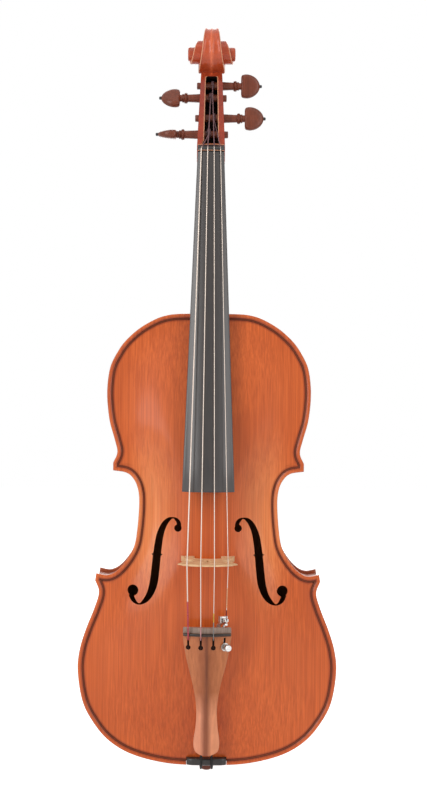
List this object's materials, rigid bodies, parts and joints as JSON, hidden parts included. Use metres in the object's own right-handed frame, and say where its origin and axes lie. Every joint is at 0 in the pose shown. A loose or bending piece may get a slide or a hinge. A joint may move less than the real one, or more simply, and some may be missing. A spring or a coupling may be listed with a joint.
{
  "type": "viola",
  "caption": "Bowed string instrument with an arched hollow body, a scrolled head, turning pegs, a bridge, a tailpiece and a working fine tuner.",
  "frame": {"origin": "where a wall hanger's yoke goes round the head, under the eyes of the scroll", "axes": "+Z along the instrument towards the scroll, -Y out of the belly towards the player's bow, +X to the side of the highest string"},
  "size_m": [0.2326, 0.1224, 0.6829],
  "materials": {
    "varnished_spruce": "clear orange varnish over quarter-cut spruce",
    "varnished_maple": "clear orange-red varnish over maple",
    "bare_spruce": "unvarnished",
    "bare_maple": "unvarnished, lightly polished",
    "boxwood": "stained and polished",
    "ebony": "oiled",
    "steel": "bright",
    "cord": "woven synthetic cord"
  },
  "bodies": {
    "viola_body": {"back_plate": "varnished_maple", "bass_bar": "bare_spruce", "bridge": "bare_maple", "centre_lining_back_left": "bare_spruce", "centre_lining_back_right": "bare_spruce", "centre_lining_front_left": "bare_spruce", "centre_lining_front_right": "bare_spruce", "centre_rib_left": "varnished_maple", "centre_rib_right": "varnished_maple", "end_block": "bare_spruce", "end_button": "boxwood", "fingerboard": "ebony", "lower_corner_block_left": "bare_spruce", "lower_corner_block_right": "bare_spruce", "lower_lining_back_left": "bare_spruce", "lower_lining_back_right": "bare_spruce", "lower_lining_front_left": "bare_spruce", "lower_lining_front_right": "bare_spruce", "lower_rib_left": "varnished_maple", "lower_rib_right": "varnished_maple", "neck": "varnished_maple", "nut": "ebony", "saddle": "ebony", "sound_post": "bare_spruce", "string_a": "steel", "string_c": "steel", "string_d": "steel", "string_g": "steel", "tailgut": "cord", "tailpiece": "boxwood", "tailpiece_fret": "boxwood", "top_plate": "varnished_spruce", "tuner_collar": "steel", "tuner_frame": "steel", "tuner_pin": "steel", "upper_block": "bare_spruce", "upper_corner_block_left": "bare_spruce", "upper_corner_block_right": "bare_spruce", "upper_lining_back_left": "bare_spruce", "upper_lining_back_right": "bare_spruce", "upper_lining_front_left": "bare_spruce", "upper_lining_front_right": "bare_spruce", "upper_rib_left": "varnished_maple", "upper_rib_right": "varnished_maple"},
    "peg_c": {"peg_c": "boxwood", "peg_pip_c": "ebony", "winding_c": "steel"},
    "peg_g": {"peg_g": "boxwood", "peg_pip_g": "ebony", "winding_g": "steel"},
    "peg_d": {"peg_d": "boxwood", "peg_pip_d": "ebony", "winding_d": "steel"},
    "peg_a": {"peg_a": "boxwood", "peg_pip_a": "ebony", "winding_a": "steel"},
    "tuner_screw": {"tuner_screw": "steel"},
    "tuner_knob": {"tuner_knob": "steel"},
    "tuner_lever": {"tuner_lever": "steel", "string_a_ball": "steel"}
  },
  "joints": [
    {"name": "peg_c_turn", "type": "hinge", "parent": "viola_body", "child": "peg_c", "pos_m": [0, -0.0201, -0.0602], "axis": [-1, 0, 0], "continuous": true},
    {"name": "peg_g_turn", "type": "hinge", "parent": "viola_body", "child": "peg_g", "pos_m": [0, -0.0064, -0.0238], "axis": [-1, 0, 0], "continuous": true},
    {"name": "peg_d_turn", "type": "hinge", "parent": "viola_body", "child": "peg_d", "pos_m": [0, -0.0017, -0.0113], "axis": [1, 0, 0], "continuous": true},
    {"name": "peg_a_turn", "type": "hinge", "parent": "viola_body", "child": "peg_a", "pos_m": [0, -0.014, -0.044], "axis": [1, 0, 0], "continuous": true},
    {"name": "tuner_travel", "type": "slide", "parent": "viola_body", "child": "tuner_screw", "axis": [-0.4226, 0.9063, 0], "range_m": [-0.0015, 0.0015]},
    {"name": "tuner_turn", "type": "hinge", "parent": "tuner_screw", "child": "tuner_knob", "pos_m": [0.0148, -0.07932, -0.519], "axis": [-0.4226, 0.9063, 0], "range_deg": [-1080, 1080]},
    {"name": "tuner_lever_tilt", "type": "hinge", "parent": "viola_body", "child": "tuner_lever", "pos_m": [0.0137, -0.07697, -0.496], "axis": [0.9063, 0.4226, 0], "range_deg": [-4, 4]}
  ],
  "couplings": [
    {"joint": "tuner_turn", "follows": "tuner_travel", "rad_per_m": 12566},
    {"joint": "tuner_lever_tilt", "follows": "tuner_travel", "rad_per_m": 43.478}
  ]
}
